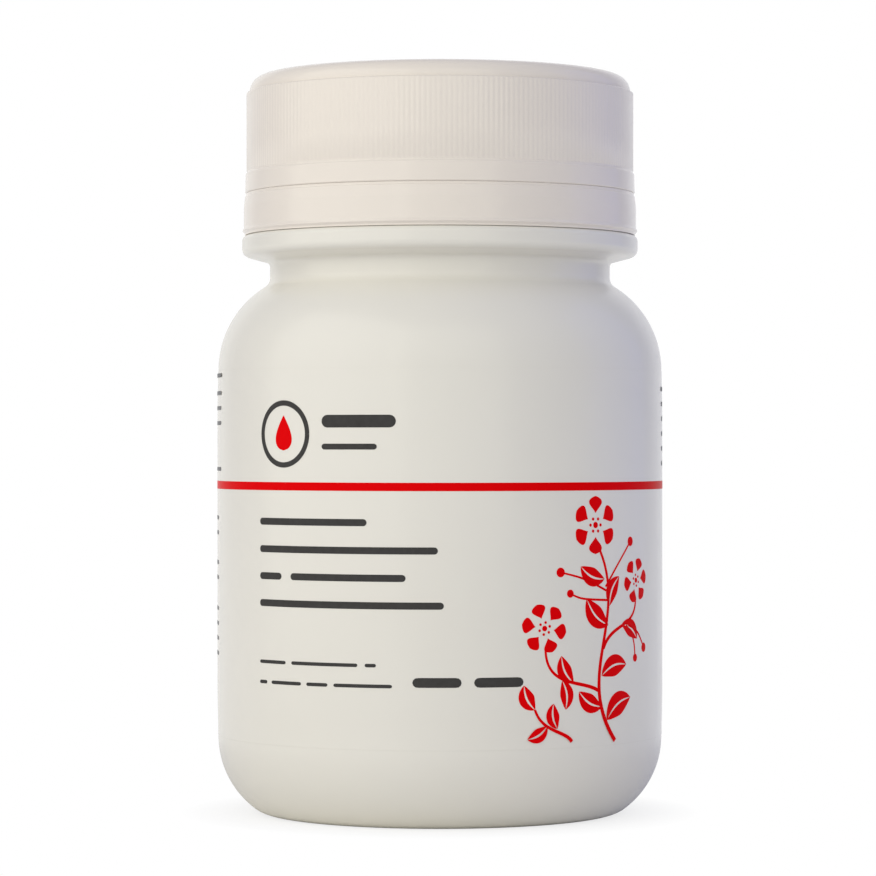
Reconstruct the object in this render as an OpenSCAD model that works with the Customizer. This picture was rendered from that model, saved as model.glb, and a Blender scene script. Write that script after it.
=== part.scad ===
// Screw-top jar that holds a soaked sponge with a finger hole, for taking off nail polish.
// Z is up. The origin is the middle of the ring that the jar stands on. The printed front faces -Y.
// A closed jar is about 79 mm tall and 48 mm across.

/* [Jar body] */
// Outside diameter of the jar's straight wall
jar_d = 47.8; // [46:0.1:50]
// Thickness of the wall, the shoulder and the floor
jar_wall = 1.1; // [0.8:0.1:1.6]
// Height of the top of the straight wall, where the shoulder starts to curve in
wall_top_z = 47.6; // [40:0.1:56]
// Radius of the rounding between the wall and the base
base_round_r = 9.6; // [8:0.1:12]
// Outside diameter of the flat ring that the jar stands on
base_ring_d = 36.6; // [35:0.1:38.4]
// Width of that ring
base_ring_w = 1.8; // [1:0.1:3]
// Radius of the small rounding between the base's curve and that ring
base_edge_r = 3; // [2:0.1:3.5]
// Height of the shallow dome pressed up inside the ring
base_dome_h = 1.6; // [0.8:0.1:2.5]
// Length of the pinch line that blow moulding leaves across the dome
pinch_line_len = 20; // [10:0.5:26]
// Width of the pinch line
pinch_line_w = 0.8; // [0.4:0.1:1.5]
// Height of the pinch line
pinch_line_h = 0.3; // [0.2:0.05:0.5]

/* [Shoulder and neck] */
// Radius of the shoulder's curve
shoulder_r = 10.5; // [8.5:0.1:12.5]
// Radius of the hollow curve between the shoulder and the neck
neck_fillet_r = 1.2; // [0.6:0.1:2]
// Outside diameter of the bare neck below the flange
neck_d = 36.7; // [35.8:0.1:39]
// Wall of the bare neck
neck_wall = 1.7; // [1.2:0.1:1.9]
// Length of the bare neck below the flange
neck_len = 1.6; // [0.8:0.1:4]

/* [Flange] */
// Outside diameter of the flange under the closure
flange_d = 42.7; // [41.5:0.1:46]
// Thickness of the flange at its edge
flange_t = 2.35; // [1.8:0.05:4]
// Rise of the flange's underside from the neck out to its edge
flange_rise = 0.6; // [0.2:0.1:1.5]
// Rounding of the flange's lower edge
flange_low_r = 0.9; // [0.4:0.1:1.2]
// Rounding of the flange's upper edge
flange_top_r = 0.6; // [0.2:0.1:0.8]

/* [Neck finish, under the cap] */
// Outside diameter of the neck at the root of its thread
finish_d = 35; // [34.2:0.1:35.6]
// Wall of the neck at its thread, which sets the width of the mouth
finish_wall = 1.6; // [1.2:0.1:2]
// Height of the rim above the flange
finish_h = 14.6; // [13.5:0.1:18]
// Rounding of the rim's outer edge
rim_round_r = 0.4; // [0.2:0.1:0.6]
// Outside diameter of the bead that keeps the tamper band down
lock_bead_d = 38.6; // [38.2:0.1:39]
// Height of the bead's underside above the flange
lock_bead_lift = 3; // [2.4:0.1:3.4]
// Height of the bead from its flat underside to the end of its ramp
lock_bead_h = 1.4; // [1:0.1:1.8]
// Height of the bead's edge
lock_edge_h = 0.4; // [0.2:0.05:0.8]

/* [Screw thread] */
// Rise of the thread in one turn
thread_pitch = 4.23; // [3.8:0.01:4.6]
// Diameter over the crest of the jar's thread
thread_d = 37.3; // [36.9:0.05:37.7]
// Turns of thread on the jar
thread_turns = 1.5; // [1:0.05:1.7]
// Distance from the rim down to the top end of the jar's thread
thread_drop = 1.7; // [1.5:0.05:2.2]
// Width of the jar's thread at its root
thread_root_w = 2.2; // [1.8:0.05:2.4]
// Width of the jar's thread at its crest
thread_crest_w = 1.2; // [0.8:0.05:1.4]
// Turns of thread in the cap
cap_thread_turns = 1.3; // [1:0.05:1.4]
// Distance from the cap's lower edge up to the middle of its thread's start
cap_thread_lift = 1.3; // [1.1:0.05:1.8]
// Width of the cap's thread at its root
cap_thread_root_w = 1.8; // [1.4:0.05:2]
// Width of the cap's thread at its crest
cap_thread_crest_w = 0.9; // [0.6:0.05:1.1]
// Radial clearance between each thread's crest and the other piece
thread_gap_r = 0.35; // [0.25:0.05:0.45]
// Clearance between the flanks of the two threads on a closed jar
thread_gap_z = 0.15; // [0.1:0.05:0.4]

/* [Cap] */
// Thickness of the cap's top plate
cap_top_t = 1.6; // [1.2:0.1:2.5]
// Wall of the cap, from its bore to the crest of its ribs
cap_wall = 1.88; // [1.6:0.02:2.4]
// Rounding of the cap's top corner
cap_corner_r = 1.75; // [1:0.05:3]
// How far that corner starts inside the crests of the ribs
cap_corner_inset = 0.32; // [0.2:0.02:0.5]
// Distance from the cap's top down to the top ends of its ribs
rib_top_drop = 1.85; // [1:0.05:3]
// Number of grip ribs round the cap
rib_count = 240; // [120:4:240]
// Depth of the grooves between the ribs
rib_depth = 0.1; // [0.06:0.01:0.4]
// Share of each rib's pitch that its groove takes up
rib_groove_share = 0.55; // [0.4:0.05:0.8]
// Height of the plain band below the ribs
plain_band_h = 2.2; // [1.5:0.05:4]
// How far the plain band stands out past the ribs at its lower edge
plain_band_proud = 0.15; // [0.05:0.01:0.3]
// Depth of the fine line between the plain band and the ribs
plain_line_depth = 0.18; // [0.08:0.01:0.25]
// Diameter of the small mark that the moulding gate leaves in the top
gate_mark_d = 2.4; // [1:0.1:4]
// Depth of that mark
gate_mark_depth = 0.2; // [0.1:0.05:0.5]

/* [Liner] */
// Thickness of the foam liner between the rim and the cap
liner_t = 1; // [0.6:0.1:1.6]
// Clearance round the liner inside the cap
liner_gap = 0.3; // [0.1:0.05:0.6]

/* [Tamper band] */
// Height of the tamper band
band_h = 4.3; // [3.8:0.1:5]
// Gap between the flange and the band
band_gap = 0.12; // [0.1:0.02:0.6]
// Gap between the band and the cap, which the bridges cross
bridge_gap = 0.12; // [0.08:0.02:0.8]
// How far the band flares out past the cap's lower edge
band_flare = 0.14; // [0.05:0.01:0.3]
// How far the lip at the band's lower edge stands out past the flare
band_lip = 0.13; // [0.05:0.01:0.3]
// Height of that lip
band_lip_h = 0.65; // [0.4:0.05:1]
// Clearance between the band's bore and the bead on the neck
band_bore_gap = 0.65; // [0.4:0.05:0.9]
// How far the band's own bead reaches in under the neck's bead
band_catch = 0.6; // [0.4:0.05:0.8]
// Height of the band's own bead
band_bead_h = 0.8; // [0.5:0.05:1.1]
// Clearance between the two beads
band_bead_gap = 0.3; // [0.2:0.05:0.5]
// Least clearance between the band's own bead and the neck
band_neck_gap = 0.4; // [0.2:0.05:0.8]
// Least wall of the band outside its bore
band_wall = 0.9; // [0.6:0.05:1.1]

/* [Tamper bridges] */
// Number of breakable bridges between the band and the cap
bridge_count = 4; // [3:1:12]
// Width of a bridge
bridge_w = 0.55; // [0.3:0.05:1]
// Thickness of a bridge, measured towards the middle of the jar
bridge_t = 0.9; // [0.5:0.05:1]
// Distance of a bridge in from the band's outer face
bridge_inset = 0.08; // [0.05:0.01:0.12]
// Angle of the first bridge to the right of the printed front
bridge_first_deg = 32; // [0:1:89]

/* [Wrap label] */
// Thickness of the label's film
label_t = 0.08; // [0.05:0.01:0.15]
// Thickness of the glue between the wall and the film
label_glue_t = 0.02; // [0.01:0.01:0.05]
// Bare wall left above the label
label_top_margin = 0.1; // [0.05:0.05:4]
// Bare wall left below the label
label_low_margin = 0.2; // [0.05:0.05:4]

/* [Sponge] */
// Clearance between the sponge and the jar's wall
sponge_side_gap = 0.5; // [0.3:0.1:1.5]
// Clearance between the sponge and the floor's dome
sponge_seat_gap = 0.3; // [0.2:0.05:0.5]
// Distance from the sponge's top up to the start of the shoulder
sponge_headroom = 1.6; // [0.5:0.1:8]
// Rounding of the sponge's top edge
sponge_top_r = 1.5; // [0.5:0.1:3]
// Diameter of the finger hole
finger_hole_d = 13; // [10:0.5:20]
// Foam left under the finger hole
finger_hole_floor = 6; // [4:0.5:12]
// Width of the bevel round the finger hole's mouth
finger_hole_bevel = 1.2; // [0.5:0.1:2.5]

/* [Hidden] */
$fn = 120;

// A cut runs this far past the face that it opens
cut_past = 1;

// Jar body: the base's small rounding touches the ring's plane and just laps over the large rounding
base_edge_lap = 0.02;
jar_r = jar_d / 2;
base_ring_r = base_ring_d / 2;
base_round_x = jar_r - base_round_r;
base_edge_reach = base_round_r - base_edge_r + base_edge_lap;
base_edge_drop = sqrt(pow(base_edge_reach, 2) - pow(base_ring_r - base_round_x, 2));
base_round_z = base_edge_r + base_edge_drop;
base_dome_edge_r = base_ring_r - base_ring_w;
base_dome_r = (pow(base_dome_edge_r, 2) + pow(base_dome_h, 2)) / (2 * base_dome_h);
base_dome_z = base_dome_h - base_dome_r;
jar_bore_r = jar_r - jar_wall;

// Shoulder and neck: the fillet touches the shoulder's circle and the neck
neck_r = neck_d / 2;
shoulder_x = jar_r - shoulder_r;
fillet_x = neck_r + neck_fillet_r;
fillet_angle = acos((fillet_x - shoulder_x) / (shoulder_r + neck_fillet_r));
fillet_z = wall_top_z + (shoulder_r + neck_fillet_r) * sin(fillet_angle);
fillet_foot_x = shoulder_x + shoulder_r * cos(fillet_angle);
fillet_foot_z = wall_top_z + shoulder_r * sin(fillet_angle);
neck_bore_r = neck_r - neck_wall;

// Flange and finish
flange_r = flange_d / 2;
flange_low_z = fillet_z + neck_len;
flange_edge_z = flange_low_z + flange_rise;
flange_top_z = flange_edge_z + flange_t;
finish_r = finish_d / 2;
mouth_r = finish_r - finish_wall;
rim_z = flange_top_z + finish_h;
lock_bead_r = lock_bead_d / 2;
lock_bead_z = flange_top_z + lock_bead_lift;

// Screw thread: each ridge has its foot sunk into its wall, so that the two join in one solid
thread_sink = 0.4;
thread_steps = 48;
thread_fade_turns = 0.1;
thread_end_share = 0.1;
thread_r = thread_d / 2;
thread_end_z = rim_z - thread_drop;
thread_start_z = thread_end_z - thread_turns * thread_pitch;
thread_foot_r = finish_r - thread_sink;
cap_bore_r = max(thread_r, finish_r) + thread_gap_r;
cap_thread_r = finish_r + thread_gap_r;
cap_thread_foot_r = cap_bore_r + thread_sink;

// Half the width of a ridge at a radius, from its foot and its crest
function ridge_half(r, foot_r, crest_r, foot_w, crest_w) =
    (foot_w + (crest_w - foot_w) * (r - foot_r) / (crest_r - foot_r)) / 2;

// Both ridges' half widths at a radius where they pass each other
function flanks_at(r) =
    ridge_half(r, thread_foot_r, thread_r, thread_root_w, thread_crest_w)
    + ridge_half(r, cap_thread_foot_r, cap_thread_r, cap_thread_root_w, cap_thread_crest_w);
thread_mesh_drop = max(flanks_at(cap_thread_r), flanks_at(thread_r)) + thread_gap_z;

// Tamper band and cap, stacked up from the flange. The cap's lower edge is as wide as its own wall
// makes it, or as the band under it needs to clear the neck's bead.
band_low_z = flange_top_z + band_gap;
band_top_z = band_low_z + band_h;
cap_low_z = band_top_z + bridge_gap;
cap_ceiling_z = rim_z + liner_t;
cap_top_z = cap_ceiling_z + cap_top_t;
cap_r = cap_bore_r + cap_wall;
cap_edge_bevel = 0.1;
band_bore_r = lock_bead_r + band_bore_gap;
plain_band_r = max(cap_r + plain_band_proud, band_bore_r + band_wall);
plain_band_top_z = cap_low_z + plain_band_h;
plain_line_r = cap_r - plain_line_depth;
plain_line_h = 0.15;
plain_edge_h = 0.15;
plain_edge_in = 0.06;
rib_low_z = plain_band_top_z + plain_line_h;
rib_top_z = cap_top_z - rib_top_drop;
rib_pitch_deg = 360 / rib_count;
rib_groove_r = cap_r - rib_depth;
rib_core_gap = 0.04;
rib_sink = 0.6;
cap_core_r = min(cap_r - cap_corner_inset, rib_groove_r - rib_core_gap);
cap_thread_start_z = cap_low_z + cap_thread_lift;
cap_thread_start_deg = 360 * (cap_thread_start_z + thread_mesh_drop - thread_start_z) / thread_pitch;
band_r = plain_band_r + band_flare;
band_bead_r = max(lock_bead_r - band_catch, finish_r + band_neck_gap);
band_bead_top_z = lock_bead_z - band_bead_gap;
band_taper_h = 1.4;
band_lip_slope_h = 0.25;
bridge_out_r = plain_band_r - bridge_inset;

// Sponge
sponge_r = jar_bore_r - sponge_side_gap;
sponge_low_z = base_dome_h + jar_wall + sponge_seat_gap;
sponge_top_z = wall_top_z - sponge_headroom;
sponge_round_r = base_round_r - jar_wall - sponge_side_gap;
finger_hole_r = finger_hole_d / 2;
finger_hole_low_z = sponge_low_z + finger_hole_floor;

// A rectangle of the half section, from one radius and height to another
module section(r0, z0, r1, z1) {
    translate([r0, z0]) square([r1 - r0, z1 - z0]);
}

// A circle of the half section
module section_circle(x, z, r) {
    translate([x, z]) circle(r);
}

// A tapered ridge wound along the thread's helix. It fades into its wall at both ends.
module thread_ridge(foot_r, crest_r, foot_w, crest_w, start_z, start_deg, turns) {
    count = ceil(turns * thread_steps);
    function fade(turn) =
        max(thread_end_share, min(thread_fade_turns, turn, turns - turn) / thread_fade_turns);
    points = [
        for (i = [0:count])
            let (turn = turns * i / count)
            let (angle = start_deg + 360 * turn)
            let (z = start_z + thread_pitch * turn)
            let (tip_r = foot_r + (crest_r - foot_r) * fade(turn))
            each [
                [foot_r * cos(angle), foot_r * sin(angle), z - foot_w / 2],
                [tip_r * cos(angle), tip_r * sin(angle), z - crest_w / 2],
                [tip_r * cos(angle), tip_r * sin(angle), z + crest_w / 2],
                [foot_r * cos(angle), foot_r * sin(angle), z + foot_w / 2]
            ]
    ];
    sides = [
        for (i = [0:count - 1], k = [0:3])
            let (a = 4 * i + k)
            let (b = 4 * i + (k + 1) % 4)
            each [[a, b, b + 4], [a, b + 4, a + 4]]
    ];
    last = 4 * count;
    ends = [[3, 2, 1], [3, 1, 0], [last, last + 1, last + 2], [last, last + 2, last + 3]];
    faces = concat(sides, ends);
    outward = crest_r > foot_r;
    polyhedron(points, outward ? faces : [for (f = faces) [f[2], f[1], f[0]]]);
}

// The jar's wall and shoulder, at a given distance inside the outer face
module body_section(inset) {
    section(0, base_round_z, jar_r - inset, wall_top_z);
    section(0, base_round_z, shoulder_x, wall_top_z + shoulder_r - inset);
    section_circle(shoulder_x, wall_top_z, shoulder_r - inset);
}

// The outside of the base. The large rounding ends at a line through the middles of both roundings.
module base_section() {
    past = jar_r / base_edge_reach;
    parting = [
        base_round_x + past * (base_ring_r - base_round_x),
        base_round_z - past * base_edge_drop
    ];
    section(0, 0, base_ring_r, base_round_z);
    intersection() {
        section_circle(base_round_x, base_round_z, base_round_r);
        polygon([
            [base_round_x, wall_top_z],
            [base_round_x, base_round_z],
            parting,
            [parting[0], wall_top_z]
        ]);
    }
    section_circle(base_ring_r, base_edge_r, base_edge_r);
}

// The hollow curve from the shoulder into the neck
module fillet_section() {
    difference() {
        polygon([
            [shoulder_x, wall_top_z],
            [fillet_foot_x, fillet_foot_z],
            [fillet_x, fillet_z],
            [neck_r, fillet_z],
            [shoulder_x, fillet_z]
        ]);
        section_circle(fillet_x, fillet_z, neck_fillet_r);
    }
}

module flange_section() {
    polygon([
        [0, flange_low_z],
        [neck_r, flange_low_z],
        [flange_r - flange_low_r, flange_edge_z],
        [0, flange_edge_z]
    ]);
    section(0, flange_edge_z, flange_r - flange_low_r, flange_top_z);
    section(0, flange_edge_z + flange_low_r, flange_r, flange_top_z - flange_top_r);
    section(0, flange_edge_z + flange_low_r, flange_r - flange_top_r, flange_top_z);
    section_circle(flange_r - flange_low_r, flange_edge_z + flange_low_r, flange_low_r);
    section_circle(flange_r - flange_top_r, flange_top_z - flange_top_r, flange_top_r);
}

module finish_section() {
    section(0, flange_edge_z, finish_r, rim_z - rim_round_r);
    section(0, flange_edge_z, finish_r - rim_round_r, rim_z);
    section_circle(finish_r - rim_round_r, rim_z - rim_round_r, rim_round_r);
    polygon([
        [0, lock_bead_z],
        [lock_bead_r, lock_bead_z],
        [lock_bead_r, lock_bead_z + lock_edge_h],
        [finish_r, lock_bead_z + lock_bead_h],
        [0, lock_bead_z + lock_bead_h]
    ]);
}

// The space inside the jar, with the floor's dome standing up into it
module hollow_section() {
    difference() {
        union() {
            body_section(jar_wall);
            section(0, jar_wall, base_round_x, wall_top_z);
            intersection() {
                section_circle(base_round_x, base_round_z, base_round_r - jar_wall);
                section(0, jar_wall, jar_r, wall_top_z);
            }
        }
        section_circle(0, base_dome_z + jar_wall, base_dome_r);
        section(0, flange_low_z, jar_r, rim_z);
        section(neck_bore_r, fillet_foot_z, jar_r, rim_z);
    }
    section(0, wall_top_z, neck_bore_r, flange_low_z);
    polygon([
        [0, flange_low_z],
        [neck_bore_r, flange_low_z],
        [mouth_r, flange_low_z + neck_bore_r - mouth_r],
        [0, flange_low_z + neck_bore_r - mouth_r]
    ]);
    section(0, flange_low_z, mouth_r, rim_z + cut_past);
}

module jar() {
    color("#e8e5df") union() {
        rotate_extrude() difference() {
            intersection() {
                union() {
                    body_section(0);
                    base_section();
                    fillet_section();
                    section(0, wall_top_z, neck_r, flange_edge_z);
                    flange_section();
                    finish_section();
                }
                section(0, 0, jar_r + flange_r, rim_z);
            }
            section_circle(0, base_dome_z, base_dome_r);
            hollow_section();
        }
        pinch_line();
        thread_ridge(thread_foot_r, thread_r, thread_root_w, thread_crest_w,
            thread_start_z, 0, thread_turns);
    }
}

// The straight ridge across the dome, left where the mould closed on the hot tube
module pinch_line() {
    top_z = base_dome_h + jar_wall / 2;
    intersection() {
        translate([-pinch_line_len / 2, -pinch_line_w / 2, 0]) cube([pinch_line_len, pinch_line_w, top_z]);
        rotate_extrude() difference() {
            intersection() {
                section_circle(0, base_dome_z, base_dome_r + jar_wall / 2);
                section(0, 0, pinch_line_len, top_z);
            }
            section_circle(0, base_dome_z, base_dome_r - pinch_line_h);
        }
    }
}

module wrap_label() {
    film_r = jar_r + label_glue_t;
    color("#e9e6e0") rotate_extrude()
        section(film_r, base_round_z + label_low_margin, film_r + label_t, wall_top_z - label_top_margin);
}

module sponge() {
    color("#f0a7b8") rotate_extrude() difference() {
        union() {
            section(0, sponge_low_z, base_round_x, sponge_top_z);
            intersection() {
                section_circle(base_round_x, base_round_z, sponge_round_r);
                section(0, sponge_low_z, sponge_r, base_round_z);
            }
            section(0, base_round_z, sponge_r, sponge_top_z - sponge_top_r);
            section(0, base_round_z, sponge_r - sponge_top_r, sponge_top_z);
            section_circle(sponge_r - sponge_top_r, sponge_top_z - sponge_top_r, sponge_top_r);
        }
        finger_hole_section();
    }
}

// The finger hole: a round-ended bore with a bevelled mouth
module finger_hole_section() {
    section(0, finger_hole_low_z + finger_hole_r, finger_hole_r, sponge_top_z + cut_past);
    intersection() {
        section_circle(0, finger_hole_low_z + finger_hole_r, finger_hole_r);
        section(0, finger_hole_low_z, finger_hole_r, sponge_top_z);
    }
    polygon([
        [0, sponge_top_z - finger_hole_bevel],
        [finger_hole_r, sponge_top_z - finger_hole_bevel],
        [finger_hole_r + finger_hole_bevel, sponge_top_z],
        [finger_hole_r + finger_hole_bevel, sponge_top_z + cut_past],
        [0, sponge_top_z + cut_past]
    ]);
}

module cap_section() {
    difference() {
        union() {
            section(0, plain_band_top_z, cap_core_r - cap_corner_r, cap_top_z);
            section(0, plain_band_top_z, cap_core_r, cap_top_z - cap_corner_r);
            section_circle(cap_core_r - cap_corner_r, cap_top_z - cap_corner_r, cap_corner_r);
            polygon([
                [0, cap_low_z],
                [plain_band_r - cap_edge_bevel, cap_low_z],
                [plain_band_r, cap_low_z + cap_edge_bevel],
                [plain_band_r - plain_edge_in, plain_band_top_z - plain_edge_h],
                [plain_line_r, plain_band_top_z],
                [0, plain_band_top_z]
            ]);
        }
        section(0, cap_low_z - cut_past, cap_bore_r, cap_ceiling_z);
        section(0, cap_top_z - gate_mark_depth, gate_mark_d / 2, cap_top_z + cut_past);
    }
}

// The grip ribs round the cap, joined by a ring that is sunk into its wall
module rib_ring() {
    groove_half_deg = rib_pitch_deg * rib_groove_share / 2;
    difference() {
        polygon([
            for (i = [0:rib_count - 1])
                let (groove_deg = i * rib_pitch_deg)
                let (crest_start_deg = groove_deg + groove_half_deg)
                let (crest_end_deg = groove_deg + rib_pitch_deg - groove_half_deg)
                each [
                    rib_groove_r * [cos(groove_deg), sin(groove_deg)],
                    cap_r * [cos(crest_start_deg), sin(crest_start_deg)],
                    cap_r * [cos(crest_end_deg), sin(crest_end_deg)]
                ]
        ]);
        circle(cap_core_r - rib_sink);
    }
}

module cap() {
    color("#ece5dc") union() {
        rotate_extrude() cap_section();
        translate([0, 0, rib_low_z]) linear_extrude(rib_top_z - rib_low_z) rib_ring();
        thread_ridge(cap_thread_foot_r, cap_thread_r, cap_thread_root_w, cap_thread_crest_w,
            cap_thread_start_z, cap_thread_start_deg, cap_thread_turns);
    }
}

module cap_liner() {
    color("#f6f4ee") translate([0, 0, rim_z]) cylinder(h = liner_t, r = cap_bore_r - liner_gap);
}

module tamper_band() {
    color("#ece5dc") rotate_extrude() {
        polygon([
            [band_bore_r, band_low_z],
            [band_r, band_low_z],
            [band_r + band_lip, band_low_z + band_lip_slope_h],
            [band_r + band_lip, band_low_z + band_lip_h - band_lip_slope_h],
            [band_r, band_low_z + band_lip_h],
            [band_r, band_top_z - band_taper_h],
            [plain_band_r, band_top_z - cap_edge_bevel],
            [plain_band_r - cap_edge_bevel, band_top_z],
            [band_bore_r, band_top_z]
        ]);
        section(band_bead_r, band_bead_top_z - band_bead_h, band_bore_r, band_bead_top_z);
    }
}

module tamper_bridges() {
    color("#ece5dc") for (i = [0:bridge_count - 1])
        rotate([0, 0, bridge_first_deg - 90 + i * 360 / bridge_count])
            translate([bridge_out_r - bridge_t, -bridge_w / 2, band_top_z])
                cube([bridge_t, bridge_w, bridge_gap]);
}

jar();
wrap_label();
sponge();
cap();
cap_liner();
tamper_band();
tamper_bridges();
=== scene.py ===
# %% [markdown]
# # A screw-top jar with a soaked sponge
#
# The real object is a small white jar, blow-moulded from HDPE. It has a rounded base, a rounded
# shoulder and a flange, and it is closed by a ribbed cap with a tamper band under it. A printed film
# runs round the wall, and a pink sponge with a finger hole fills the inside. This script dresses the
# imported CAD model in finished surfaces. The CAD gives every place and size in metres, so the script
# starts by loading it and asks it for the main sizes instead of writing them again.

# %% Load the frame
import math

import bpy
import numpy as np
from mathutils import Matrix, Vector


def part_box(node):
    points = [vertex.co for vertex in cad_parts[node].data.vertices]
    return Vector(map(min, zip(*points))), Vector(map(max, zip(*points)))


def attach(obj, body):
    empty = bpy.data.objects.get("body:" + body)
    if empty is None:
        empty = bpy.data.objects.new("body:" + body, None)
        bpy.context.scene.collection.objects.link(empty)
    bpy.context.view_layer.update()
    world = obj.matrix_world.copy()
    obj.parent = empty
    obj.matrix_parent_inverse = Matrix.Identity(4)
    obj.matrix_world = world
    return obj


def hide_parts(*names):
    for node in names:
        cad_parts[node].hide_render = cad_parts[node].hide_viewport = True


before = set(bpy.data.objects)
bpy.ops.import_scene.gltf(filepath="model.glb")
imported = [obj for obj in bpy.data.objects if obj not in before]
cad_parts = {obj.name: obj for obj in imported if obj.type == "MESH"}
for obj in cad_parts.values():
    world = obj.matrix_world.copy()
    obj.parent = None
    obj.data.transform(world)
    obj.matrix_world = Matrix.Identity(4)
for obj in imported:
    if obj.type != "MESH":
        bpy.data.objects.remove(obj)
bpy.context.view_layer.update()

# %% Main sizes from the frame, in millimetres
MM = 0.001


def reach(node):
    """Radius from the jar's axis, lowest point and highest point of a CAD node, in millimetres."""
    low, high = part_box(node)
    return high.x / MM, low.z / MM, high.z / MM


jar_r, _, rim_z = reach("jar")
label_r, label_low_z, label_top_z = reach("wrap_label")
plain_band_r, cap_low_z, cap_top_z = reach("cap")
band_lip_r, band_low_z, band_top_z = reach("tamper_band")
liner_r, _, liner_top_z = reach("cap_liner")
sponge_r, sponge_low_z, sponge_top_z = reach("sponge")
print(f"jar radius {jar_r:.2f} mm, rim at {rim_z:.2f} mm, cap top at {cap_top_z:.2f} mm")

# %% [markdown]
# ## The camera
#
# The camera comes first, because every later choice is judged through it. The photograph was taken
# level, from about 39 cm, at half the jar's height. The jar's rings there bend up above the
# horizon and down below it, which fixes the distance. A small shift puts the jar in the same place in
# the frame without tilting the camera, so upright edges stay upright.

# %% Place the camera
IMAGE_SIDE = 876
SENSOR_WIDTH = 36.0
FOCAL_PIXELS = 3650
AXIS_PIXEL_X = 439.9
HORIZON_PIXEL_Y = 442.2
CAMERA_DISTANCE = 0.3946
CAMERA_HEIGHT = 0.03985

scene = bpy.context.scene
camera_data = bpy.data.cameras.new("camera")
camera_data.sensor_width = SENSOR_WIDTH
camera_data.lens = SENSOR_WIDTH * FOCAL_PIXELS / IMAGE_SIDE
camera_data.shift_x = (IMAGE_SIDE / 2 - AXIS_PIXEL_X) / IMAGE_SIDE
camera_data.shift_y = (HORIZON_PIXEL_Y - IMAGE_SIDE / 2) / IMAGE_SIDE
camera_data.clip_start = 0.01
camera = bpy.data.objects.new("camera", camera_data)
camera.location = (0, -CAMERA_DISTANCE, CAMERA_HEIGHT)
camera.rotation_euler = (math.radians(90), 0, 0)
scene.collection.objects.link(camera)
scene.camera = camera
scene.view_settings.view_transform = "Standard"
print(f"lens {camera_data.lens:.1f} mm")

# %% [markdown]
# ## Turning an outline into a solid
#
# Almost every piece here is round, as moulded packs are. The natural way to make one is to draw half
# of its cross section and turn that outline round the axis. Blender's Screw modifier could do it, but
# a grid of points worked out with numpy gives exact control: the same grid can have ribs pressed into
# it, and it closes itself at the axis. Sharp corners don't exist on moulded plastic, so the outline
# helpers round every corner a little, and these small rounds catch the light as real edges do.

# %% Outline helpers
def arc(centre, radius, start_deg, end_deg, steps):
    """Points on a circle: the centre plus the radius times the cosine and sine of an even run of angles."""
    turn = np.radians(np.linspace(start_deg, end_deg, steps + 1))
    return np.asarray(centre) + radius * np.column_stack([np.cos(turn), np.sin(turn)])


def soften(corners, cut, steps=4, closed=False, hold=True):
    """Rounds the corners of a line of (radius, height) points.

    Each corner gives way to a quadratic curve from a point `cut` before it to a point `cut` after it:
    (1 - t)^2 * before + 2 t (1 - t) * corner + t^2 * after. The cut is at most 0.3 of either side. A
    holding point on each side, 1.6 cuts from the corner, keeps the flat between two corners flat.
    """
    corners = np.asarray(corners, float)
    before = np.roll(corners, 1, axis=0) - corners
    after = np.roll(corners, -1, axis=0) - corners
    before_length = np.linalg.norm(before, axis=1)[:, None]
    after_length = np.linalg.norm(after, axis=1)[:, None]
    size = np.minimum(cut, 0.3 * np.minimum(before_length, after_length))
    towards = before / before_length * size
    onwards = after / after_length * size
    t = np.linspace(0, 1, steps + 1)[None, :, None]
    curve = corners[:, None] + (1 - t) ** 2 * towards[:, None] + t ** 2 * onwards[:, None]
    if hold:
        holders = [(corners + 1.6 * side)[:, None] for side in (towards, onwards)]
        curve = np.concatenate([holders[0], curve, holders[1]], axis=1)
    if closed:
        return curve.reshape(-1, 2)
    return np.vstack([corners[:1], curve[1:-1].reshape(-1, 2), corners[-1:]])


# %% From a grid of points to a mesh
def grid_faces(rows, columns, close_rows=False, close_columns=False):
    """Four corner numbers for each cell of a grid that is numbered row by row."""
    number = np.arange(rows * columns).reshape(rows, columns)
    if close_rows:
        number = np.vstack([number, number[:1]])
    if close_columns:
        number = np.hstack([number, number[:, :1]])
    cells = [number[:-1, :-1], number[:-1, 1:], number[1:, 1:], number[1:, :-1]]
    return np.stack(cells, axis=-1).reshape(-1, 4)


def tube_ends(rows, columns):
    """Cells that close both ends of a grid whose columns run round a section, from its two halves."""
    first = np.arange(columns)
    half = columns // 2
    back = first[::-1]
    end = np.stack([first[:half - 1], first[1:half], back[1:half], back[:half - 1]], axis=-1)
    return np.vstack([end[:, ::-1], end + (rows - 1) * columns])


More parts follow.
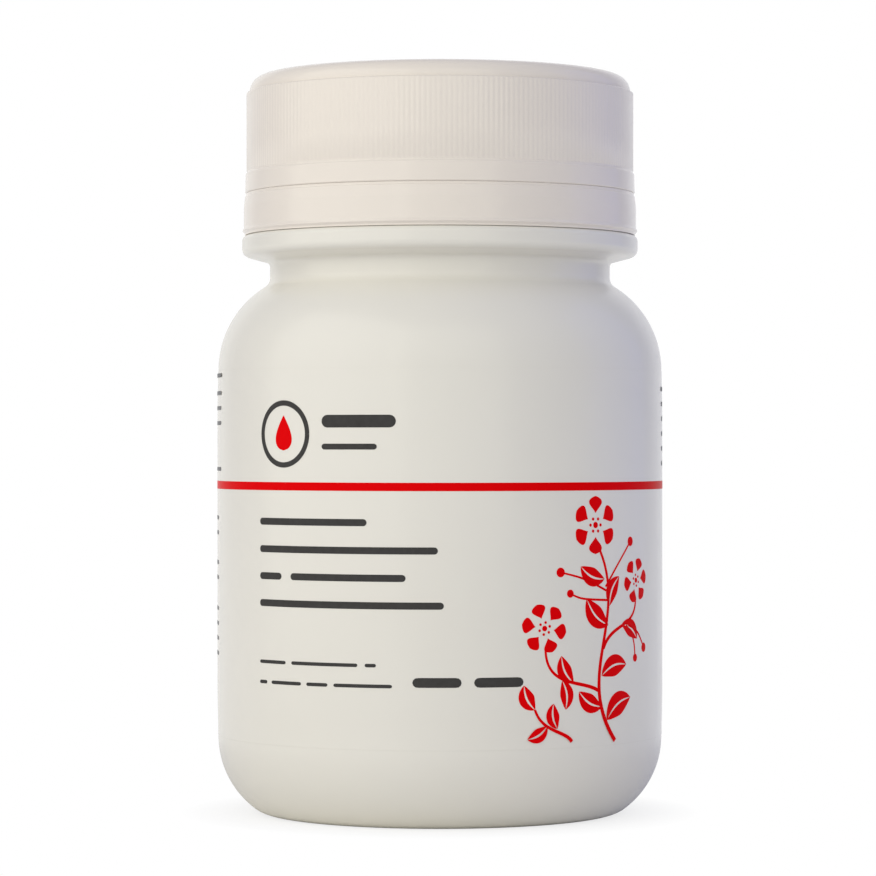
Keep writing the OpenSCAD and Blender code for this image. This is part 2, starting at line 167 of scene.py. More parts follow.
def solid_from(name, points, faces):
    """Makes a smooth closed mesh object from points in millimetres.

    Points that share a place become one, and a cell that loses a corner becomes a triangle. The
    signed volume, a sixth of the sum of a . (b x c) over the triangles, says which way faces point.
    """
    points = np.asarray(points, float).reshape(-1, 3)
    _, first, same = np.unique(np.round(points, 5), axis=0, return_index=True, return_inverse=True)
    faces = same.reshape(-1)[faces]
    points = points[first]
    a, b, c, d = (points[faces[:, k]] for k in range(4))
    volume = (np.einsum("ij,ij->i", a, np.cross(b, c)) + np.einsum("ij,ij->i", a, np.cross(c, d))).sum() / 6
    if volume < 0:
        faces = faces[:, ::-1]
    repeated = faces == np.roll(faces, -1, axis=1)
    lost = repeated.sum(axis=1)
    triangles = faces[lost == 1][~repeated[lost == 1]].reshape(-1, 3)
    mesh = bpy.data.meshes.new(name)
    mesh.from_pydata((points * MM).tolist(), [], faces[lost == 0].tolist() + triangles.tolist())
    mesh.polygons.foreach_set("use_smooth", np.ones(len(mesh.polygons), bool))
    mesh.update()
    piece = bpy.data.objects.new(name, mesh)
    scene.collection.objects.link(piece)
    print(f"{name}: {len(mesh.vertices)} points, {len(mesh.polygons)} faces, {abs(volume):.1f} mm3")
    return piece


def turned(name, outline, columns, ring=False, press=0.0):
    """Turns an outline of (radius, height) points round the axis.

    A point at angle a, counted from the printed front towards +X, lies at
    (radius * sin a, -radius * cos a, height). `press` is a grid that is taken off the radius.
    A ring's outline closes on itself. Any other outline starts and ends on the axis.
    """
    angle = np.linspace(0, 2 * math.pi, columns, endpoint=False)
    radius = outline[:, :1] - press + np.zeros(columns)
    height = outline[:, 1:] + np.zeros(columns)
    points = np.stack([radius * np.sin(angle), -radius * np.cos(angle), height], axis=-1)
    return solid_from(name, points, grid_faces(len(outline), columns, ring, True))


def finish_piece(piece, body, slot, material, *nodes):
    """Gives a piece its material, the body that it moves with and the nodes it stands for. Its slot is not
    used.
    """
    piece.data.materials.append(material)
    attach(piece, body)
    if nodes:
        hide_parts(*nodes)


# %% [markdown]
# ## Materials
#
# Colours are read off as sRGB hex values, as on a screen, but Blender's shaders count in linear light,
# so one function converts them. A second small function adds a node with its settings and its links.
# Every finish is then a short recipe of nodes: what it is made of sets the shader's own values, and
# noise in Object coordinates, at sizes given in millimetres, breaks up the evenness.

# %% Material helpers
def linear(hex_colour):
    """sRGB hex to linear RGBA: c / 12.92 below 0.04045, and ((c + 0.055) / 1.055) ^ 2.4 above it."""
    c = np.array([int(hex_colour[k:k + 2], 16) for k in (1, 3, 5)]) / 255
    return (*np.where(c <= 0.04045, c / 12.92, ((c + 0.055) / 1.055) ** 2.4).tolist(), 1.0)


def add_node(tree, kind, inputs=None, **settings):
    """Adds a node, sets its properties, and fills each named input with a value or a link."""
    node = tree.nodes.new(kind)
    for key, value in settings.items():
        setattr(node, key, value)
    for key, value in (inputs or {}).items():
        if isinstance(value, bpy.types.NodeSocket):
            tree.links.new(value, node.inputs[key])
        else:
            node.inputs[key].default_value = value
    return node


def new_material(name):
    """An empty node material, its tree, its shader and the Object coordinates."""
    material = bpy.data.materials.new(name)
    material.use_nodes = True
    tree = material.node_tree
    shader = tree.nodes["Principled BSDF"]
    place = add_node(tree, "ShaderNodeTexCoord").outputs["Object"]
    print("material:", name)
    return material, tree, shader, place


def per_mm(size):
    """The Scale of a noise whose grains are about `size` millimetres across."""
    return 1 / (size * MM)


# %% [markdown]
# Moulded white plastic is never one flat colour. The pigment flows, so the tone drifts a little over
# centimetres. The skin copies the mould, so gloss and height change over tenths of a millimetre. The
# white pigment stops light within a fraction of a millimetre, so no glow through the wall is needed.
# The three plastics here differ in how the real ones are made, and so in gloss and in skin.

# %% Moulded plastics
def moulded_plastic(name, colour, drift_colour, ior, gloss, skin_mm, skin_depth_mm):
    """A pigmented plastic: slowly drifting tone, slightly uneven gloss and a fine skin."""
    material, tree, shader, place = new_material(name)
    drift = add_node(tree, "ShaderNodeTexNoise", {"Vector": place, "Scale": per_mm(14), "Detail": 3.0})
    tone = add_node(tree, "ShaderNodeMix", {"Factor": drift.outputs["Fac"], "A": linear(colour),
                                            "B": linear(drift_colour)}, data_type="RGBA")
    skin = add_node(tree, "ShaderNodeTexNoise", {"Vector": place, "Scale": per_mm(skin_mm), "Detail": 1.0})
    rough = add_node(tree, "ShaderNodeMapRange", {"Value": skin.outputs["Fac"], "To Min": gloss[0],
                                                  "To Max": gloss[1]})
    bump = add_node(tree, "ShaderNodeBump", {"Height": skin.outputs["Fac"], "Strength": 1.0,
                                             "Distance": skin_depth_mm * MM})
    tree.links.new(tone.outputs["Result"], shader.inputs["Base Color"])
    tree.links.new(rough.outputs["Result"], shader.inputs["Roughness"])
    tree.links.new(bump.outputs["Normal"], shader.inputs["Normal"])
    shader.inputs["IOR"].default_value = ior
    return material


# Blow-moulded HDPE: a satin, waxy skin with a soft unevenness that the mould's blasting leaves
blown_hdpe = moulded_plastic("blow_moulded_hdpe", "#E9E6DE", "#E6E3DA", 1.5, (0.2, 0.28), 1.6, 0.0016)
# Injection-moulded polypropylene: a harder, tighter skin, so reflections keep clearer edges
moulded_pp = moulded_plastic("injection_moulded_pp", "#ECE4DB", "#E9E1D7", 1.49, (0.16, 0.22), 0.7, 0.0006)
# White polyethylene film, varnished after printing: the jar's own tone and gloss, with a flatter skin
label_film = moulded_plastic("varnished_pe_film", "#E9E6DE", "#E6E3DA", 1.5, (0.2, 0.27), 2.4, 0.0014)

# %% [markdown]
# ## The jar
#
# The jar is one blown shell: a dome pressed up in its base, a ring to stand on, round base, wall and
# shoulder, and a neck that was shaped by the mould's neck insert. The outline follows the outside up
# from the axis, turns in over the rim and comes back down the inside. Long curves are true arcs, and
# where two arcs meet they share a tangent, so no crease shows there.

# %% The sizes of the jar's outline
WALL = 1.1
RING_R = 18.3
RING_WIDTH = 1.8
DOME_HEIGHT = 1.6
BASE_EDGE_R = 3.0
BASE_ARC_R = 9.6
WALL_TOP_Z = 47.6
WALL_HOLD = 0.3
SHOULDER_R = 10.5
FILLET_R = 1.2
NECK_R = 18.35
NECK_WALL = 1.7
NECK_LENGTH = 1.6
FLANGE_RISE = 0.6
FLANGE_R = 21.35
FLANGE_THICKNESS = 2.35
FLANGE_LOW_ROUND = 0.9
FLANGE_LOW_START_DEG = -74
FLANGE_TOP_ROUND = 0.6
FINISH_R = 17.5
MOUTH_R = 15.9
BEAD_R = 19.3
BEAD_LIFT = 3.0
BEAD_EDGE = 0.4
BEAD_HEIGHT = 1.4
RIM_DEPTH = 1.0
EDGE_CUT = 0.22

dome_edge_r = RING_R - RING_WIDTH
dome_r = (dome_edge_r ** 2 + DOME_HEIGHT ** 2) / (2 * DOME_HEIGHT)
dome_end_deg = math.degrees(math.acos(dome_edge_r / dome_r))
base_x = jar_r - BASE_ARC_R
base_drop = math.sqrt((BASE_ARC_R - BASE_EDGE_R) ** 2 - (RING_R - base_x) ** 2)
base_z = BASE_EDGE_R + base_drop
base_meet_deg = -math.degrees(math.atan2(base_drop, RING_R - base_x))
shoulder_x = jar_r - SHOULDER_R
fillet_x = NECK_R + FILLET_R
fillet_deg = math.degrees(math.acos((fillet_x - shoulder_x) / (SHOULDER_R + FILLET_R)))
fillet_z = WALL_TOP_Z + (SHOULDER_R + FILLET_R) * math.sin(math.radians(fillet_deg))
flange_low_z = fillet_z + NECK_LENGTH
flange_edge_z = flange_low_z + FLANGE_RISE
flange_top_z = flange_edge_z + FLANGE_THICKNESS
bead_z = flange_top_z + BEAD_LIFT
neck_bore_r = NECK_R - NECK_WALL
print(f"flange from {flange_low_z:.2f} to {flange_top_z:.2f} mm")


# %% The outside, the finish and the inside
def base_angle(radius, height):
    """Where a circle round the base arc's centre is at that height, in degrees."""
    return math.degrees(math.asin((height - base_z) / radius))


outside = np.vstack([
    arc((0, DOME_HEIGHT - dome_r), dome_r, 90, dome_end_deg, 10),
    arc((RING_R, BASE_EDGE_R), BASE_EDGE_R, -90, base_meet_deg, 8),
    arc((base_x, base_z), BASE_ARC_R, base_meet_deg, 0, 28)[1:],
    [(jar_r, base_z + WALL_HOLD), (jar_r, WALL_TOP_Z - WALL_HOLD)],
    arc((shoulder_x, WALL_TOP_Z), SHOULDER_R, 0, fillet_deg, 28),
    arc((fillet_x, fillet_z), FILLET_R, 180 + fillet_deg, 180, 8)[1:],
])
underside = [outside[-1], (NECK_R, flange_low_z), (FLANGE_R - FLANGE_LOW_ROUND, flange_edge_z)]
finish = np.vstack([
    soften(underside, 2 * EDGE_CUT)[1:-1],
    arc((FLANGE_R - FLANGE_LOW_ROUND, flange_edge_z + FLANGE_LOW_ROUND), FLANGE_LOW_ROUND,
        FLANGE_LOW_START_DEG, 0, 8),
    arc((FLANGE_R - FLANGE_TOP_ROUND, flange_top_z - FLANGE_TOP_ROUND), FLANGE_TOP_ROUND, 0, 90, 8),
    soften([
        (FLANGE_R - FLANGE_TOP_ROUND, flange_top_z),
        (FINISH_R, flange_top_z),
        (FINISH_R, bead_z),
        (BEAD_R, bead_z),
        (BEAD_R, bead_z + BEAD_EDGE),
        (FINISH_R, bead_z + BEAD_HEIGHT),
        (FINISH_R, rim_z),
        (MOUTH_R, rim_z),
        (MOUTH_R, rim_z - RIM_DEPTH),
    ], EDGE_CUT)[1:-1],
])
hollow_deg = math.degrees(math.acos((neck_bore_r - shoulder_x) / (SHOULDER_R - WALL)))
inside = np.vstack([
    soften([
        (MOUTH_R, rim_z - RIM_DEPTH),
        (MOUTH_R, flange_low_z + neck_bore_r - MOUTH_R),
        (neck_bore_r, flange_low_z),
        (neck_bore_r, WALL_TOP_Z + (SHOULDER_R - WALL) * math.sin(math.radians(hollow_deg))),
    ], EDGE_CUT)[1:-1],
    arc((shoulder_x, WALL_TOP_Z), SHOULDER_R - WALL, hollow_deg, 0, 20),
    arc((base_x, base_z), BASE_ARC_R - WALL, 0, base_angle(BASE_ARC_R - WALL, WALL), 20),
    arc((0, DOME_HEIGHT + WALL - dome_r), dome_r, dome_end_deg, 90, 10),
])
jar_outline = np.vstack([outside, finish, inside])
print(f"jar outline: {len(jar_outline)} points")

# %% [markdown]
# The two halves of the blowing mould meet in a plane through the jar's sides, and they leave a very
# low ridge there. The same grid makes it: the columns at both sides gain a few hundredths of a
# millimetre, on the outer rows only, and nothing on the neck, which another tool shapes.

# %% Turn the jar's shell, with its parting ridges
JAR_COLUMNS = 360
PARTING_HEIGHT = 0.04
PARTING_WIDTH_DEG = 0.8

column_deg = np.arange(JAR_COLUMNS) * 360 / JAR_COLUMNS
from_parting = np.minimum(abs(column_deg - 90), abs(column_deg - 270))
parting = np.exp(-(from_parting / PARTING_WIDTH_DEG) ** 2)
on_body = np.arange(len(jar_outline)) < len(outside) - 8
on_body &= jar_outline[:, 0] > RING_R + 0.5
jar_shell = turned("jar_shell", jar_outline, JAR_COLUMNS,
                   press=-PARTING_HEIGHT * on_body[:, None] * parting)
finish_piece(jar_shell, "jar_body", "jar_hdpe", blown_hdpe, "jar")

# %% [markdown]
# Under the jar, the mould pinched the hot tube shut, and the weld stays as a straight ridge across the
# dome. It is a grid too: one direction runs along the ridge, and the other round its oval section,
# which shrinks to nothing at both ends.

# %% The pinch line under the base
PINCH_LENGTH = 20.0
PINCH_WIDTH = 0.8
PINCH_HEIGHT = 0.3
PINCH_STEPS = 60
PINCH_SIDES = 12

pinch_t = np.linspace(-1, 1, PINCH_STEPS)[:, None]
pinch_swell = np.clip(1 - pinch_t ** 8, 0, 1) ** 0.5
pinch_turn = np.linspace(0, 2 * math.pi, PINCH_SIDES, endpoint=False)
pinch_x = PINCH_LENGTH / 2 * pinch_t + 0 * pinch_turn
pinch_y = PINCH_WIDTH / 2 * pinch_swell * np.cos(pinch_turn)
dome_z = DOME_HEIGHT - dome_r + np.sqrt(dome_r ** 2 - pinch_x ** 2)
pinch_z = dome_z + PINCH_HEIGHT * pinch_swell * np.sin(pinch_turn)
pinch_seam = solid_from("pinch_seam", np.stack([pinch_x, pinch_y, pinch_z], axis=-1),
                        grid_faces(PINCH_STEPS, PINCH_SIDES, close_columns=True))
finish_piece(pinch_seam, "jar_body", "jar_hdpe", blown_hdpe)

# %% [markdown]
# ### The screw thread
#
# A thread is a small ridge carried along a helix. The ridge's section has a wide foot sunk in the
# wall and a narrow rounded crest, and it fades at both ends, where the mould's cutter ran out. A grid
# again does it: one direction goes round the section and the other along the helix.

# %% Thread ridges
THREAD_PITCH = 4.23
THREAD_STEPS = 240
THREAD_SINK = 0.4
THREAD_FADE = 0.12


def thread_ridge(name, foot_r, crest_r, foot_w, crest_w, start_z, start_turn, turns):
    """A ridge along a helix. Step t of the way gives the angle and the height of the section's middle.

    The section's points lie at radius foot + (crest - foot) * reach and at half-width foot + (crest -
    foot) * reach, with reach 0 at the foot and 1 at the crest, and reach fades at both ends.
    """
    reach_up = np.array([0, 0.55, 0.88, 1, 1, 0.88, 0.55, 0])
    side = np.array([-1, -1, -0.92, -0.6, 0.6, 0.92, 1, 1])
    turn = np.linspace(0, turns, int(turns * THREAD_STEPS))
    fade = np.clip(np.minimum(turn, turns - turn) / THREAD_FADE, 0.04, 1)
    fade = np.sin(fade * math.pi / 2)
    radius = foot_r + (crest_r - foot_r) * fade[:, None] * reach_up
    half = (foot_w + (crest_w - foot_w) * reach_up) / 2 * side
    angle = 2 * math.pi * (start_turn + turn)[:, None]
    height = start_z + THREAD_PITCH * turn[:, None] + half
    points = np.stack([radius * np.cos(angle), radius * np.sin(angle), height], axis=-1)
    faces = grid_faces(len(turn), len(side), close_columns=True)
    return solid_from(name, points, np.vstack([faces, tube_ends(len(turn), len(side))]))


# %% The jar's thread
JAR_THREAD_R = 18.65
JAR_THREAD_FOOT_WIDTH = 2.2
JAR_THREAD_CREST_WIDTH = 1.2
JAR_THREAD_TURNS = 1.5
JAR_THREAD_DROP = 1.7
jar_thread_z = rim_z - JAR_THREAD_DROP - JAR_THREAD_TURNS * THREAD_PITCH
jar_thread = thread_ridge("jar_thread", FINISH_R - THREAD_SINK, JAR_THREAD_R, JAR_THREAD_FOOT_WIDTH,
                          JAR_THREAD_CREST_WIDTH, jar_thread_z, 0, JAR_THREAD_TURNS)
finish_piece(jar_thread, "jar_body", "jar_hdpe", blown_hdpe)

# %% [markdown]
# ## The cap
#
# The cap is injection-moulded, with 240 fine ribs for grip. Pressing grooves into the turned grid is
# the light way to make them: rows that carry ribs lose a little radius along a cosine that has one
# wave a rib. The grooves are very shallow, because on white plastic in soft light ribs hardly show.
# Below the ribs a fine line parts off a plain band. Rings at both ends of the flat top hold it flat.

# %% The sizes of the cap
CAP_BORE_R = 19.0
CAP_CREST_R = 20.88
CAP_CORE_R = 20.56
CORNER_R = 1.75
RIB_DROP = 1.85
RIB_COUNT = 240
RIB_DEPTH = 0.022
RIB_GROOVE = 0.5 - 0.5 * np.cos(np.arange(6) * math.pi / 3)
PLAIN_BAND_HEIGHT = 2.2
LINE_R = 20.84
LINE_HEIGHT = 0.15
PLAIN_TOP_R = 20.97
EDGE_BEVEL = 0.1
GATE_R = 1.2
GATE_DEPTH = 0.2
TOP_HOLD = 0.4

cap_ceiling_z = liner_top_z
rib_top_z = cap_top_z - RIB_DROP
line_z = cap_low_z + PLAIN_BAND_HEIGHT
rib_low_z = line_z + LINE_HEIGHT
rib_pitch = 2 * math.pi * CAP_CREST_R / RIB_COUNT
print(f"ribs from {rib_low_z:.2f} to {rib_top_z:.2f} mm, {rib_pitch:.2f} mm apart")

# %% The cap's outline and its ribs
cap_top = np.vstack([
    soften([
        (0, cap_top_z - GATE_DEPTH),
        (GATE_R, cap_top_z - GATE_DEPTH),
        (GATE_R, cap_top_z),
        (GATE_R + TOP_HOLD, cap_top_z),
        (CAP_CORE_R - CORNER_R - TOP_HOLD, cap_top_z),
        (CAP_CORE_R - CORNER_R, cap_top_z),
    ], 0.12, 2, hold=False),
    arc((CAP_CORE_R - CORNER_R, cap_top_z - CORNER_R), CORNER_R, 90, 0, 10)[1:],
])
cap_ribs = np.array([
    (CAP_CORE_R, rib_top_z + 0.02),
    (CAP_CREST_R - 0.1, rib_top_z),
    (CAP_CREST_R - 0.03, rib_top_z - 0.04),
    (CAP_CREST_R, rib_top_z - 0.12),
    (CAP_CREST_R, rib_low_z + 0.1),
    (CAP_CREST_R - 0.04, rib_low_z + 0.02),
])
rib_share = np.array([0, 0.9, 1, 1, 1, 0.9])
plain_band = soften([
    (LINE_R, rib_low_z),
    (LINE_R, line_z),
    (PLAIN_TOP_R, line_z - LINE_HEIGHT),
    (plain_band_r, cap_low_z + EDGE_BEVEL),
    (plain_band_r - EDGE_BEVEL, cap_low_z),
    (CAP_BORE_R, cap_low_z),
], 0.1, 3)
cap_inside = soften([
    (CAP_BORE_R, cap_low_z),
    (CAP_BORE_R, cap_ceiling_z),
    (0, cap_ceiling_z),
], 0.3, 3, hold=False)
cap_outline = np.vstack([cap_top, cap_ribs, plain_band, cap_inside])
cap_share = np.zeros(len(cap_outline))
cap_share[len(cap_top):len(cap_top) + len(cap_ribs)] = rib_share

# %% Turn the cap's shell
cap_shell = turned("cap_shell", cap_outline, RIB_COUNT * len(RIB_GROOVE),
                   press=RIB_DEPTH * cap_share[:, None] * np.tile(RIB_GROOVE, RIB_COUNT))
finish_piece(cap_shell, "cap_body", "cap_pp", moulded_pp, "cap")

# %% The cap's thread, which lies under the jar's own with a little clearance between their flanks
CAP_THREAD_R = 17.85
CAP_THREAD_FOOT_WIDTH = 1.8
CAP_THREAD_CREST_WIDTH = 0.9
CAP_THREAD_TURNS = 1.3
CAP_THREAD_LIFT = 1.3
THREAD_MESH_DROP = 1.458
cap_thread_z = cap_low_z + CAP_THREAD_LIFT
cap_thread_start = (cap_thread_z + THREAD_MESH_DROP - jar_thread_z) / THREAD_PITCH
cap_thread = thread_ridge("cap_thread", CAP_BORE_R + THREAD_SINK, CAP_THREAD_R, CAP_THREAD_FOOT_WIDTH,
                          CAP_THREAD_CREST_WIDTH, cap_thread_z, cap_thread_start, CAP_THREAD_TURNS)
finish_piece(cap_thread, "cap_body", "cap_pp", moulded_pp)

# %% [markdown]
# ## The tamper band and its bridges
#
# The band under the cap was moulded with it and cut free, apart from four thin bridges. Its lower edge
# has a small lip, and inside a bead catches under the jar's own bead. The knife leaves no open slit:
# at each gap the band is stepped back, and a low land nearly touches the next piece, so a gap shows as
# a shallow groove that light still reaches. The bridges keep the CAD's shape and take the cap's plastic.

# %% Turn the band, and finish the bridges
BAND_BORE_R = 19.95
BAND_BEAD_R = 18.7
BAND_BEAD_DROP = 0.3
BAND_BEAD_HEIGHT = 0.8
BAND_LIP = 0.13
BAND_LIP_HEIGHT = 0.65
BAND_SLOPE = 0.25
BAND_TAPER = 1.4
LAND_HEIGHT = 0.11
LAND_DEPTH = 0.1
UPPER_GROOVE = 0.24
LOWER_GROOVE = 0.08

band_r = band_lip_r - BAND_LIP
band_bead_top_z = bead_z - BAND_BEAD_DROP
band_outline = soften([
    (BAND_BORE_R, band_low_z - LAND_HEIGHT),
    (band_r - LAND_DEPTH, band_low_z - LAND_HEIGHT),
    (band_r - LAND_DEPTH, band_low_z + LOWER_GROOVE),
    (band_lip_r, band_low_z + LOWER_GROOVE + BAND_SLOPE),
    (band_lip_r, band_low_z + BAND_LIP_HEIGHT - BAND_SLOPE),
    (band_r, band_low_z + BAND_LIP_HEIGHT),
    (band_r, band_top_z - BAND_TAPER),
    (plain_band_r, band_top_z - UPPER_GROOVE),
    (plain_band_r - LAND_DEPTH, band_top_z - UPPER_GROOVE + LAND_DEPTH),
    (plain_band_r - LAND_DEPTH, band_top_z + LAND_HEIGHT),
    (BAND_BORE_R, band_top_z + LAND_HEIGHT),
    (BAND_BORE_R, band_bead_top_z),
    (BAND_BEAD_R, band_bead_top_z),
    (BAND_BEAD_R, band_bead_top_z - BAND_BEAD_HEIGHT),
    (BAND_BORE_R, band_bead_top_z - BAND_BEAD_HEIGHT),
], 0.14, 4, closed=True)
band_ring = turned("band_ring", band_outline, JAR_COLUMNS, ring=True)
finish_piece(band_ring, "band_body", "cap_pp", moulded_pp, "tamper_band")

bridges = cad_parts["tamper_bridges"]
bridges.data.materials[0] = moulded_pp
print("bridges keep their CAD mesh:", bridges.name)

# %% [markdown]
# ## The liner
#
# The liner is a disc of expanded polyethylene that was punched from a sheet. Its edge is soft, and the
# jar's rim has pressed a shallow ring into its lower face.

# %% The finish of foams
def fine_foam(name, colour, painted_pit_shade, cell_mm, cell_depth_mm, rough):
    """Round cells from a Voronoi pattern, lower along their walls, with painted shade darkening them there.
    """
    material, tree, shader, place = new_material(name)
    cells = add_node(tree, "ShaderNodeTexVoronoi", {"Vector": place, "Scale": per_mm(cell_mm)})
    # Painted shade: the cells' low walls take the darker colour
    tone = add_node(tree, "ShaderNodeMix", {"Factor": cells.outputs["Distance"], "A": linear(colour),
                                            "B": linear(painted_pit_shade)}, data_type="RGBA")
    bump = add_node(tree, "ShaderNodeBump", {"Height": cells.outputs["Distance"], "Strength": 1.0,
                                             "Distance": cell_depth_mm * MM}, invert=True)
    tree.links.new(tone.outputs["Result"], shader.inputs["Base Color"])
    tree.links.new(bump.outputs["Normal"], shader.inputs["Normal"])
    shader.inputs["Roughness"].default_value = rough
    return material


# Expanded polyethylene: matt and slightly pearly, with cells that only just show, their low walls darkened a
# little by painted shade
liner_foam = fine_foam("expanded_polyethylene", "#F4F2EC", "#E4E1D8", 0.5, 0.03, 0.7)

# %% Turn the liner's disc
PRESSED_DEPTH = 0.12
liner_outline = soften([
    (0, rim_z),
    (MOUTH_R - 0.2, rim_z),
    (MOUTH_R + 0.1, rim_z + PRESSED_DEPTH),
    (FINISH_R - 0.1, rim_z + PRESSED_DEPTH),
    (FINISH_R + 0.2, rim_z),
    (liner_r, rim_z),
    (liner_r, liner_top_z),
    (0, liner_top_z),
], 0.15, 3)
liner_disc = turned("liner_disc", liner_outline, JAR_COLUMNS)
finish_piece(liner_disc, "liner_body", "liner_foam", liner_foam, "cap_liner")

# %% [markdown]
# ## The sponge
#
# The sponge is a plug of open-cell polyurethane foam with a finger hole down its middle. Its look comes
# from pits of many sizes. Two gyroids, surfaces that wind through space like the walls of a foam, are
# laid over each other at different sizes, and where they dip the outline's surface is pressed inwards.
# The pits only go in, so the foam stays inside the space that the CAD gives it.

# %% The foam's outline, with evenly spaced points
FOAM_CORNER_R = 8.0
FOAM_TOP_ROUND = 1.5
HOLE_R = 6.5
HOLE_LOW_Z = 9.0
HOLE_BEVEL = 1.2
FOAM_STEP = 0.5
FOAM_COLUMNS = 300

foam_line = np.vstack([
    [(0, sponge_low_z)],
    arc((base_x, base_z), FOAM_CORNER_R, base_angle(FOAM_CORNER_R, sponge_low_z), 0, 16),
    arc((sponge_r - FOAM_TOP_ROUND, sponge_top_z - FOAM_TOP_ROUND), FOAM_TOP_ROUND, 0, 90, 6),
    [(HOLE_R + HOLE_BEVEL, sponge_top_z), (HOLE_R, sponge_top_z - HOLE_BEVEL)],
    arc((0, HOLE_LOW_Z + HOLE_R), HOLE_R, 0, -90, 16),
])
run = np.concatenate([[0], np.cumsum(np.linalg.norm(np.diff(foam_line, axis=0), axis=1))])
even = np.linspace(0, run[-1], int(run[-1] / FOAM_STEP))
foam_outline = np.column_stack([np.interp(even, run, foam_line[:, 0]), np.interp(even, run, foam_line[:, 1])])
foam_outline[-1, 0] = 0
print(f"foam outline: {run[-1]:.0f} mm long, {len(foam_outline)} points")


# %% Press the pits in
LARGE_CELL = 2.6
SMALL_CELL = 1.5
PIT_DEPTH = 0.45
CELL_WARP = 0.35


def gyroid(points, cell_mm):
    """sin x cos y + sin y cos z + sin z cos x, with one wave every cell_mm: a foam-like field."""
    x, y, z = (points * (2 * math.pi / cell_mm)).T
    return np.sin(x) * np.cos(y) + np.sin(y) * np.cos(z) + np.sin(z) * np.cos(x)


along = np.gradient(foam_outline, axis=0)
outward = np.column_stack([along[:, 1], -along[:, 0]]) / np.linalg.norm(along, axis=1)[:, None]
foam_angle = np.linspace(0, 2 * math.pi, FOAM_COLUMNS, endpoint=False)
round_x, round_y = np.sin(foam_angle), -np.cos(foam_angle)
foam_points = np.stack([foam_outline[:, :1] * round_x, foam_outline[:, :1] * round_y,
                        foam_outline[:, 1:] + 0 * foam_angle], axis=-1)
foam_out = np.stack([outward[:, :1] * round_x, outward[:, :1] * round_y,
                     outward[:, 1:] + 0 * foam_angle], axis=-1)
warped = foam_points.reshape(-1, 3)
warped = warped + CELL_WARP * np.sin(warped[:, [1, 2, 0]] * 1.7)
field = 0.6 * gyroid(warped, LARGE_CELL) + 0.5 * gyroid(warped[:, [2, 0, 1]], SMALL_CELL)
pit = np.clip(field.reshape(foam_points.shape[:2]), 0, 1.2) ** 1.5
near_axis = np.clip(foam_outline[:, :1] / 1.5, 0, 1)
foam_points = foam_points - foam_out * (PIT_DEPTH * pit * near_axis)[..., None]
sponge_plug = solid_from("sponge_plug", foam_points,
                         grid_faces(len(foam_outline), FOAM_COLUMNS, close_columns=True))

# %% The foam's finish
# Soaked polyurethane foam: pink right through, with painted shade darkening its pits, and a wet sheen on the
# cell walls
soaked_foam = fine_foam("soaked_polyurethane_foam", "#EFA3B6", "#D97C95", 0.9, 0.2, 0.55)
wet = soaked_foam.node_tree.nodes["Principled BSDF"]
wet.inputs["Coat Weight"].default_value = 0.3
wet.inputs["Coat Roughness"].default_value = 0.25
finish_piece(sponge_plug, "jar_body", "sponge_foam", soaked_foam, "sponge")

# %% [markdown]
# ## The wrap label
#
# The label is a film wound once round the wall, so its end laps over its start, at the back. The grid
# runs round the jar and a little further, and there it steps up by the film's own thickness. The
# rollers of the labelling machine press its edges down flat, so they hardly show: there the film
# thins out along a smooth step, 3 s^2 - 2 s^3, which starts and ends level. A holding ring beside each
# edge keeps the shading of the corner from spreading up the wall.

# %% Wind the film
FILM = 0.08
FILM_EDGE = 0.006
FILM_EDGE_WIDTH = 5.0
FILM_EDGE_STEPS = 9
FILM_EDGE_HOLD = 0.002
LAP_DEG = 7.0
LAP_CENTRE_DEG = 180.0
LAP_STEP_DEG = 1.0
FILM_STEPS = 361

film_in_r = label_r - FILM
film_turn = np.linspace(LAP_CENTRE_DEG - 360 - LAP_DEG / 2, LAP_CENTRE_DEG + LAP_DEG / 2, FILM_STEPS)
lap_start = LAP_CENTRE_DEG - LAP_DEG / 2
lift = 1.05 * FILM * np.clip((film_turn - lap_start + LAP_STEP_DEG) / LAP_STEP_DEG, 0, 1)
edge_share = np.insert(np.linspace(0, 1, FILM_EDGE_STEPS), 1, FILM_EDGE_HOLD)
edge_r = film_in_r + FILM_EDGE + (FILM - FILM_EDGE) * (3 * edge_share ** 2 - 2 * edge_share ** 3)
film_section = np.vstack([
    [(film_in_r, label_low_z)],
    np.column_stack([edge_r, label_low_z + FILM_EDGE_WIDTH * edge_share]),
    np.column_stack([edge_r, label_top_z - FILM_EDGE_WIDTH * edge_share])[::-1],
    [(film_in_r, label_top_z)],
])
film_angle = np.radians(film_turn)[:, None]
film_radius = film_section[:, 0] + lift[:, None]
film_points = np.stack([film_radius * np.sin(film_angle), -film_radius * np.cos(film_angle),
                        film_section[:, 1] + 0 * film_angle], axis=-1)
film_faces = np.vstack([grid_faces(FILM_STEPS, len(film_section), close_columns=True),
                        tube_ends(FILM_STEPS, len(film_section))])
film_wrap = solid_from("film_wrap", film_points, film_faces)
finish_piece(film_wrap, "jar_body", "label_film", label_film, "wrap_label")

# %% [markdown]
# ## The print
#
# Ink lies on the film as a skin about two hundredths of a millimetre thick. Every mark is made the same
# way: a centre line in the flat of the label, and a width that swells and thins along it. A straight
# line with an even width is a bar, a short one that swells is a leaf or a petal, and one that swells
# to a half circle at each end is a dot. The flat strips are then wound onto the film.

# %% Strips of ink in the flat
STRIP_CELLS = 3
MOTIF_STEPS = 18


def strip(centre, low, high):
    """A strip beside a centre line: each point plus its left normal times low to high, in even steps."""
    centre = np.asarray(centre, float)
    step = np.gradient(centre, axis=0)
    left = np.column_stack([-step[:, 1], step[:, 0]]) / np.linalg.norm(step, axis=1)[:, None]
    share = np.linspace(0, 1, STRIP_CELLS + 1)
    offset = np.asarray(low)[:, None] + (np.asarray(high) - np.asarray(low))[:, None] * share
    return centre[:, None] + left[:, None] * offset[..., None]


